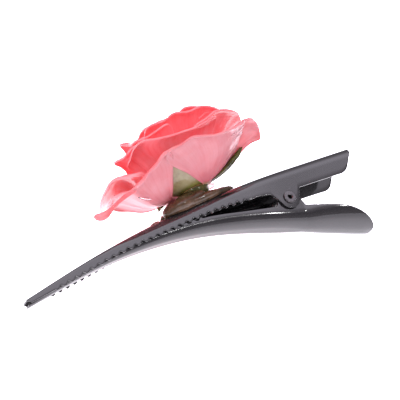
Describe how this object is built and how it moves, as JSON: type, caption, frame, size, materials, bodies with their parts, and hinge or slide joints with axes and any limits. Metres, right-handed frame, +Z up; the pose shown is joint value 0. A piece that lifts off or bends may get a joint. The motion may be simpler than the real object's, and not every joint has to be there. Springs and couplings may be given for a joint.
{
  "type": "flower hair clip",
  "caption": "Resin-coated pink rose on a curved black two-leaf beak hair clip with toothed jaws, hollow pivot rivet and torsion spring.",
  "frame": {"origin": "middle of the clip's footprint on the surface that it lies on", "axes": "+X from the tip of the jaws to the end of the handles, +Z up from the surface, +Y to the side that the flower leans to"},
  "size_m": [0.132, 0.0538, 0.05],
  "materials": {
    "black_enamel": "glossy black enamel on pressed steel",
    "rivet_metal": "dark plated hollow rivet, worn bright at its rolled ring",
    "spring_steel": "drawn spring wire",
    "clear_resin": "clear resin, faintly amber, high gloss",
    "calyx_green": "dried green sepal sealed in clear resin",
    "petal_pale": "pale pink rose petal sealed in clear glossy resin",
    "petal_coral": "coral pink rose petal sealed in clear glossy resin"
  },
  "bodies": {
    "lower_jaw": {"lower_leaf": "black_enamel", "torsion_spring": "spring_steel"},
    "upper_jaw": {"fourth_petal_1": "petal_coral", "fourth_petal_2": "petal_coral", "fourth_petal_3": "petal_coral", "fourth_petal_4": "petal_coral", "heart_petal_1": "petal_coral", "heart_petal_2": "petal_coral", "heart_petal_3": "petal_coral", "outer_petal_1": "petal_pale", "outer_petal_2": "petal_pale", "outer_petal_3": "petal_pale", "outer_petal_4": "petal_pale", "outer_petal_5": "petal_pale", "pivot_rivet": "rivet_metal", "resin_drip": "clear_resin", "resin_pad": "clear_resin", "resin_run": "clear_resin", "rose_hip": "calyx_green", "second_petal_1": "petal_coral", "second_petal_2": "petal_coral", "second_petal_3": "petal_coral", "second_petal_4": "petal_coral", "second_petal_5": "petal_coral", "sepal_1": "calyx_green", "sepal_2": "calyx_green", "sepal_3": "calyx_green", "sepal_4": "calyx_green", "sepal_5": "calyx_green", "stray_petal": "petal_pale", "third_petal_1": "petal_coral", "third_petal_2": "petal_coral", "third_petal_3": "petal_coral", "third_petal_4": "petal_coral", "third_petal_5": "petal_coral", "upper_leaf": "black_enamel"}
  },
  "joints": [
    {"name": "jaw_pivot", "type": "hinge", "parent": "lower_jaw", "child": "upper_jaw", "pos_m": [0.03539, -0.01253, 0.01322], "axis": [0.0066, 0.6508, -0.7592], "range_deg": [0, 30], "stiffness_Nm_per_rad": 0.57, "springref_deg": -14.9, "deforming": ["torsion_spring"]}
  ]
}
